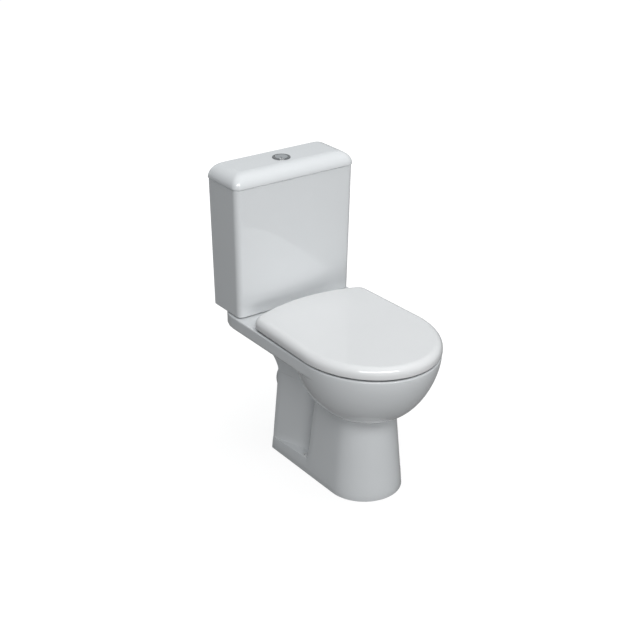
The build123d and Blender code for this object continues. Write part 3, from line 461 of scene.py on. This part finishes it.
def bore_wall(bm, x, height, radius):
    """Round hole through both faces of the rear wall round a point."""
    rims = []
    for depth in (0, TANK_WALL):
        face = min(bm.faces, key=lambda f: (f.calc_center_median() - spot(x, depth, height)).length)
        side = max(e.calc_length() for e in face.edges)
        bmesh.ops.inset_individual(bm, faces=[face], thickness=side / 2 - radius / 1000)
        bmesh.ops.bevel(bm, geom=list(face.verts), offset=radius / 1000 * 0.999, affect="VERTICES",
                        segments=6, profile=0.5, material=-1)
        mouth = min(bm.faces, key=lambda f: (f.calc_center_median() - spot(x, depth, height)).length)
        rims += list(mouth.edges)
        bmesh.ops.delete(bm, geom=[mouth], context="FACES_ONLY")
    bmesh.ops.bridge_loops(bm, edges=rims)


bm = bmesh.new()
rows = [tank_row(TANK_BOTTOM, 5.5), tank_row(TANK_BOTTOM, 3.5), tank_row(397.3, 2.2), tank_row(398, 1),
        tank_row(399.1, 0.25), tank_row(400.5), tank_row(405), tank_row(WALL_HOLE_Z - 8),
        tank_row(WALL_HOLE_Z + 8), tank_row(742), tank_row(745.7), tank_row(747.2, 0.3), tank_row(748.5, 1.2),
        tank_row(749.4, 2.5), tank_row(TANK_TOP, 4), tank_row(TANK_TOP, 8), tank_row(749.5, 9.1),
        tank_row(748.8, 9.8)]
rows += [tank_row(z, TANK_WALL) for z in (747.7, 744, WALL_HOLE_Z + 8, WALL_HOLE_Z - 8, 425, 420)]
rows += [tank_row(414, 10.8), tank_row(410.5, 13), tank_row(409, 17), tank_row(409, 20)]
skin(bm, rows)
for side in (-1, 1):
    bore_wall(bm, side * WALL_HOLE_X, WALL_HOLE_Z, WALL_HOLE_RADIUS)
piece("cistern_tank_casting", bm, glaze, "pan_and_cistern", "ceramic", "cistern_tank")


# Flush valve: a white plastic drum clamped in the tank floor by a back nut, with its overflow tube,
# rubber seal and gasket, and the two coloured levers that the button rods tip.
valve_plastic = finish_of("valve_plastic", (0.70, 0.705, 0.71), (0.76, 0.764, 0.766), 0.35, 0.48, 140.0, 0.1)
dress(valve_plastic, "flush_valve_body", "lift_tube", "valve_back_nut")
dress(black_rubber, "valve_seal", "valve_gasket")
dress(blue_plastic, "full_flush_rocker", "half_flush_trip_lever")
dress(plain_steel, "rocker_pins")


# Fill valve: a white plastic riser with a coloured cap, and an upturned float cup on a short arm.
# Its threaded shank goes down through the tank floor, and a nut and rubber washer hold it.
dress(valve_plastic, "fill_valve_body", "float_cup", "inlet_nut")
dress(blue_plastic, "fill_valve_cap", "float_arm")
dress(black_rubber, "fill_valve_washer")
dress(plain_steel, "float_pin")


# Cistern lid: a loose pillow-shaped china cover with a round hole for the flush buttons.
# It is cast hollow, and a lip under it drops inside the tank so that it can't slide off.
LID_BOTTOM, LID_TOP, LID_HALF, LID_FRONT = 750.0, 785.0, 183.3, 133.0
VALVE_OUT, BUTTON_HOLE = 64.0, 20.0


def lid_row(height, inset, rear):
    return rounded_box(LID_HALF - inset, rear, LID_FRONT - inset, 4 + 0.2 * inset, 18 - 0.33 * inset, height)


def round_hole(ring, radius, height):
    """Circle round the button hole, each point in line with one of the plan's."""
    centre = spot(0, VALVE_OUT, height)
    circle = []
    for place in ring:
        away = Vector((place.x - centre.x, place.y - centre.y, 0)).normalized()
        circle.append(centre + away * radius / 1000)
    return circle


bm = bmesh.new()
rows = [lid_row(LID_BOTTOM, 1.2, 1.2), lid_row(750.35, 0.35, 0.35), lid_row(751.2, 0, 0)]
for degrees in (0, 8, 16, 24, 32, 40, 48, 56, 64, 72, 80, 86, 90):
    turn = math.radians(degrees)
    rows.append(lid_row(752 + 33 * math.sin(turn), 38 * (1 - math.cos(turn)), 8 * (1 - math.cos(turn))))
top = lid_row(LID_TOP, 40, 10)
rows += [top, round_hole(top, 26, LID_TOP), round_hole(top, 21.5, LID_TOP), round_hole(top, 20.4, 784.6),
         round_hole(top, BUTTON_HOLE, 783.5), round_hole(top, BUTTON_HOLE, 773), round_hole(top, 21, 772)]
under = rounded_box(150, 19, 104, 6, 14, 772)
rows += [round_hole(top, 24, 772), under, rounded_box(155, 14, 109, 6, 14, 770.5),
         rounded_box(156.3, 16, 110, 6, 14, 767), rounded_box(156.3, 16, 110, 6, 14, 744),
         rounded_box(157.3, 15, 111, 6, 13, 742), rounded_box(167.3, 13.5, 116.3, 4, 10, 742),
         rounded_box(168.5, 12.5, 117.5, 4, 10, 743.5), rounded_box(168.5, 12.5, 117.5, 4, 10, 749),
         rounded_box(169.5, 11.5, 118.5, 4, 11, LID_BOTTOM)]
skin(bm, rows, close=True)
piece("cistern_lid_casting", bm, glaze, "cistern_cover", "ceramic", "cistern_lid")


# Flush buttons: a chromed bezel and sleeve clamped through the lid by a locknut, and two chromed plastic
# buttons that share one round window, split by a curve; steel springs push them up.
dark_chrome = finish_of("dark_chrome", (0.28, 0.285, 0.29), (0.33, 0.335, 0.34), 0.08, 0.16, 90.0, 0.02,
                        Metallic=1.0)
satin_chrome = finish_of("satin_chrome", (0.66, 0.67, 0.68), (0.72, 0.73, 0.74), 0.18, 0.28, 260.0, 0.03,
                         Metallic=1.0)
BUTTON_RADIUS, SPLIT_RADIUS, SPLIT_X, SPLIT_GAP = 16.7, 19.0, -22.0, 0.8


def button_row(full, inset, height):
    """Outline of one button: an arc of the round window and an arc of the split between the two."""
    outer = BUTTON_RADIUS - inset
    inner = SPLIT_RADIUS + SPLIT_GAP / 2 + inset if full else SPLIT_RADIUS - SPLIT_GAP / 2 - inset
    x = (inner ** 2 - outer ** 2 - SPLIT_X ** 2) / (-2 * SPLIT_X)
    wide = math.acos(x / outer)
    narrow = math.asin(outer * math.sin(wide) / inner)
    start, sweep = (-wide, 2 * wide) if full else (wide, math.tau - 2 * wide)
    turns = [start + sweep * k / 40 for k in range(40)]
    row = [(outer * math.cos(t), outer * math.sin(t)) for t in turns]
    back = narrow if full else -narrow
    for step in range(24):
        turn = back * (1 - step / 12)
        row.append((SPLIT_X + inner * math.cos(turn), inner * math.sin(turn)))
    return [spot(px, VALVE_OUT + ps, height) for px, ps in row]


def button_cap(full):
    bm = bmesh.new()
    rows = [button_row(full, 0.4, 783), button_row(full, 0.1, 783.1), button_row(full, 0, 783.4)]
    for degrees in (0, 22, 45, 68, 90):
        turn = math.radians(degrees)
        rows.append(button_row(full, 1 - math.cos(turn), 787 + math.sin(turn)))
    skin(bm, rows + [button_row(full, 1.6, 788)])
    return bm


bm = bmesh.new()
turned(bm, [(19.5, 757), (19.5, 785), (24, 785), (24, 785.5), (23.85, 786.27), (23.41, 786.91),
            (22.77, 787.35), (22, 787.5), (17.7, 787.5), (17.2, 787.3), (17, 786.8), (17, 760), (3, 760),
            (3, 757)], 0, VALVE_OUT, 72)
piece("button_bezel", bm, dark_chrome, "cistern_cover", "chrome", "button_housing")
piece("full_button_cap", button_cap(True), satin_chrome, "full_button", "chrome", "full_flush_button")
piece("half_button_cap", button_cap(False), satin_chrome, "half_button", "chrome", "half_flush_button")
dress(valve_plastic, "full_push_rod", "half_push_rod", "button_locknut")
dress(plain_steel, "full_button_spring", "half_button_spring")


# Seat ring: a thick injection moulded plastic ring with rounded edges, open in the middle.
# Two ears at its rear turn on the hinge pins.
HINGE_OUT, HINGE_Z = 169.0, 413.0
SEAT_SHOULDER, SEAT_BOW, SEAT_DRAFT = 420.0, 32.5, 6.2
seat_gloss = finish_of("seat_gloss", (0.735, 0.742, 0.746), (0.76, 0.764, 0.766), 0.12, 0.18, 60.0, 0.02,
                       Coat_Weight=0.9, Coat_Roughness=0.03, Specular_IOR_Level=0.3)


def hinge_ear(bm, x_near, x_far, outline):
    """Flat ear between two places across the seat, its outline given out from the wall and up."""
    rings = [[spot(x, s, z) for s, z in outline] for x in (x_near, x_far)]
    skin(bm, rings)


def knuckle_arc(start, end):
    """Outer arc of an ear round the hinge line."""
    turns = [math.radians(start + (end - start) * k / 19) for k in range(20)]
    return [(HINGE_OUT + 8 * math.cos(t), HINGE_Z + 8 * math.sin(t)) for t in turns]


def seat_row(height, inset):
    return dee(174.2 - inset, 624 - inset, SEAT_SHOULDER, 180 + inset, 30 - inset, height, SEAT_BOW,
               SEAT_DRAFT)


def seat_hole(height, spread):
    return oval(112 + spread, 570 + spread, 430, 290 - spread, height)


bm = bmesh.new()
rows = [seat_row(400, 4), seat_row(400, 2), seat_row(400.6, 0.6), seat_row(402, 0), seat_row(404, 0)]
for degrees in (0, 15, 30, 45, 60, 75, 90):
    turn = math.radians(degrees)
    rows.append(seat_row(410 + 6 * math.sin(turn), 6 * (1 - math.cos(turn))))
rows += [seat_row(416, 8), seat_hole(416, 8)]
for degrees in (90, 75, 60, 45, 30, 15, 0):
    turn = math.radians(degrees)
    rows.append(seat_hole(410 + 6 * math.sin(turn), 6 * (1 - math.cos(turn))))
rows += [seat_hole(404, 0), seat_hole(402, 0), seat_hole(400.6, 0.6), seat_hole(400, 2), seat_hole(400, 4)]
skin(bm, rows, close=True)
for side in (-1, 1):
    hinge_ear(bm, side * 85.4, side * 96, [(202, 407), (202, 415)] + knuckle_arc(14.5, 311.4))
piece("seat_ring_moulding", bm, seat_gloss, "seat", "seat_plastic", "seat_ring")


# Seat lid: a wrap-over plastic moulding whose deep skirt hides the ring.
# Its rear wall is cut away for the hinge posts, and two ears inside it turn on the hinge pins.
REAR_MARKS = (28, 50, 55.4, 56.2, 66, 77.5, 89, 98.8, 99.6, 108, 115.6, 116.6, 124)
SKIRT_BOTTOM, LID_CROWN = 401.0, 429.0


def lid_plan(height, wall):
    """Outline of the lid at a height, on its outside or drawn in by the wall."""
    edge = 20 - wall
    rise = min(1, max(0, (height - 409) / edge))
    rolled = 1 - math.sqrt(1 - rise * rise)
    drawn = wall + edge * rolled
    return dee(182.2 - drawn, 632 - drawn, SEAT_SHOULDER, 155 + wall + 7 * rolled, 27 - 0.4 * drawn, height,
               SEAT_BOW, SEAT_DRAFT, REAR_MARKS)


def skirt_foot(place):
    """Height of the skirt's edge below a point of the outline."""
    x, s = abs(place.x) * 1000, (WALL_PLANE - place.y) * 1000
    if s > 169:
        return SKIRT_BOTTOM
    return 422.3 if 56 < x < 99 else 408.0


def lid_rows(heights, wall):
    outline = lid_plan(409, 0)
    rows = []
    for height in heights:
        row = lid_plan(height, wall)
        for step, place in enumerate(outline):
            lowest = skirt_foot(place) + 1.2
            if height < lowest:
                row[step] = lid_plan(lowest, wall)[step]
        rows.append(row)
    return rows


def skirt_edge(wall, rise, soften):
    """Row along the skirt's rounded lower edge."""
    outline = lid_plan(409, 0)
    row = []
    for step, place in enumerate(outline):
        height = skirt_foot(place) + rise
        row.append(lid_plan(height, wall + soften)[step])
        row[-1].z = height / 1000
    return row


bm = bmesh.new()
bow = [math.radians(d) for d in (0, 10, 20, 30, 40, 50, 60, 70, 78, 84, 90)]
rows = [skirt_edge(0, 0, 1.2), skirt_edge(0, 0.35, 0.35)]
rows += lid_rows([402.2, 405] + [409 + 20 * math.sin(t) for t in bow], 0)
first = row = lay_ring(bm, rows[0])
for ring in rows[1:]:
    row = draw_on(bm, row, ring)
row = draw_on(bm, row, dee(160, 610, SEAT_SHOULDER, 164, 18, LID_CROWN, SEAT_BOW, SEAT_DRAFT, REAR_MARKS))
bmesh.ops.edgeloop_fill(bm, edges=row_edges(bm, row))
rows = lid_rows([402.2] + [409 + 15.5 * math.sin(t) for t in bow], 4.5)
inner = row = lay_ring(bm, skirt_edge(4.5, 0, -1.2))
for ring in [skirt_edge(4.5, 0.35, -0.35)] + rows:
    row = draw_on(bm, row, ring)
bmesh.ops.edgeloop_fill(bm, edges=row_edges(bm, row))
bmesh.ops.bridge_loops(bm, edges=row_edges(bm, first) + row_edges(bm, inner))
for side in (-1, 1):
    hinge_ear(bm, side * 59, side * 69.6, [(177, 413), (177, 425.5), (168.5, 425.5)] + knuckle_arc(93.6, 342))
piece("seat_lid_moulding", bm, seat_gloss, "lid", "seat_plastic", "seat_lid")


# Seat fixings: two steel posts on studs that expanding rubber plugs hold in the deck, with hinge pins
# through them, and rubber buffers under the ring and under the lid.
dress(plain_steel, "hinge_posts", "hinge_pins", "seat_fixing_studs")
dress(black_rubber, "seat_fixing_plugs")
grey_rubber = finish_of("grey_rubber", (0.42, 0.425, 0.43), (0.48, 0.485, 0.49), 0.5, 0.65, 200.0, 0.15)
dress(grey_rubber, "lid_buffers", "seat_buffers")


# Studio: a plain pale floor, a wide soft box in front, softer fills from above, low in front, the right
# and behind, and the photograph's viewpoint.
floor_mesh = bmesh.new()
bmesh.ops.create_grid(floor_mesh, x_segments=8, y_segments=8, size=6)
mesh = bpy.data.meshes.new("floor")
floor_mesh.to_mesh(mesh)
floor_mesh.free()
floor = bpy.data.objects.new("floor", mesh)
bpy.context.scene.collection.objects.link(floor)
pale = bpy.data.materials.new("pale_floor")
pale.use_nodes = True
nodes, link = pale.node_tree.nodes, pale.node_tree.links.new
shader = nodes["Principled BSDF"]
shader.inputs["Base Color"].default_value = (0.18, 0.18, 0.18, 1)
shader.inputs["Roughness"].default_value = 0.9
shader.inputs["Specular IOR Level"].default_value = 0.0
shader.inputs["Emission Color"].default_value = (1, 1, 1, 1)
place = nodes.new("ShaderNodeTexCoord")
away = nodes.new("ShaderNodeVectorMath")
away.operation = "LENGTH"
fade = nodes.new("ShaderNodeMapRange")
fade.inputs["From Min"].default_value = 0.35
fade.inputs["From Max"].default_value = 1.3
fade.inputs["To Min"].default_value = 0.88
fade.inputs["To Max"].default_value = 1.0
seen = nodes.new("ShaderNodeLightPath")
mirrored = nodes.new("ShaderNodeMath")
mirrored.operation = "MAXIMUM"
sheen = nodes.new("ShaderNodeMath")
sheen.operation = "MULTIPLY"
sheen.inputs[1].default_value = 0.12
direct = nodes.new("ShaderNodeMath")
direct.operation = "MAXIMUM"
lift = nodes.new("ShaderNodeMath")
lift.operation = "MULTIPLY"
link(place.outputs["Object"], away.inputs[0])
link(away.outputs["Value"], fade.inputs["Value"])
link(seen.outputs["Is Camera Ray"], direct.inputs[0])
link(seen.outputs["Is Glossy Ray"], mirrored.inputs[0])
link(seen.outputs["Is Transmission Ray"], mirrored.inputs[1])
link(mirrored.outputs["Value"], sheen.inputs[0])
link(sheen.outputs["Value"], direct.inputs[1])
link(direct.outputs["Value"], lift.inputs[0])
link(fade.outputs["Result"], lift.inputs[1])
link(lift.outputs["Value"], shader.inputs["Emission Strength"])
mesh.materials.append(pale)


def soft_lamp(name, place, aim, wide, high, watts, mirrored):
    lamp = bpy.data.lights.new(name, "AREA")
    lamp.shape = "RECTANGLE"
    lamp.size, lamp.size_y, lamp.energy = wide, high, watts
    stand = bpy.data.objects.new(name, lamp)
    stand.location = place
    stand.rotation_euler = (Vector(aim) - Vector(place)).to_track_quat("-Z", "Y").to_euler()
    stand.visible_glossy = mirrored
    bpy.context.scene.collection.objects.link(stand)


soft_lamp("front_box", (-1.05, -2.1, 2.6), (0, 0, 0.4), 3.0, 0.8, 48, True)
soft_lamp("overhead", (0.3, -0.2, 3.2), (0, 0, 0.3), 2.6, 2.6, 47, False)
soft_lamp("low_front", (-1.6, -2.8, 0.32), (0, 0, 0.25), 1.4, 0.5, 23, False)
soft_lamp("right_fill", (2.4, -2.0, 1.4), (0, 0, 0.3), 1.8, 1.8, 14, False)
soft_lamp("rear_fill", (0.6, 3.2, 1.2), (0, 0, 0.4), 2.4, 1.6, 20, False)

world = bpy.data.worlds.new("studio")
bpy.context.scene.world = world
world.use_nodes = True
nodes, link = world.node_tree.nodes, world.node_tree.links.new
background = nodes["Background"]
seen = nodes.new("ShaderNodeLightPath")
direct = nodes.new("ShaderNodeMath")
direct.operation = "MAXIMUM"
mirrored = nodes.new("ShaderNodeMath")
mirrored.operation = "MAXIMUM"
sheen = nodes.new("ShaderNodeMath")
sheen.operation = "MULTIPLY"
sheen.inputs[1].default_value = 0.4
tint = nodes.new("ShaderNodeMix")
tint.data_type = "RGBA"
tint.inputs["A"].default_value = (0.88, 0.95, 1, 1)
tint.inputs["B"].default_value = (1, 1, 1, 1)
level = nodes.new("ShaderNodeMapRange")
level.inputs["To Min"].default_value = 0.2
level.inputs["To Max"].default_value = 1.0
link(seen.outputs["Is Glossy Ray"], mirrored.inputs[0])
link(seen.outputs["Is Transmission Ray"], mirrored.inputs[1])
link(seen.outputs["Is Camera Ray"], direct.inputs[0])
link(mirrored.outputs["Value"], sheen.inputs[0])
link(sheen.outputs["Value"], direct.inputs[1])
link(direct.outputs["Value"], tint.inputs["Factor"])
link(direct.outputs["Value"], level.inputs["Value"])
link(tint.outputs["Result"], background.inputs["Color"])
link(level.outputs["Result"], background.inputs["Strength"])

camera = bpy.data.objects.new("camera", bpy.data.cameras.new("camera"))
camera.data.lens = 74.44
camera.location = (-1.8008, -2.4307, 1.8617)
aim = Vector((0, 0.0825, 0.3904)) - camera.location
camera.rotation_euler = aim.to_track_quat("-Z", "Y").to_euler()
bpy.context.scene.collection.objects.link(camera)
bpy.context.scene.camera = camera
bpy.context.scene.view_settings.view_transform = "Standard"
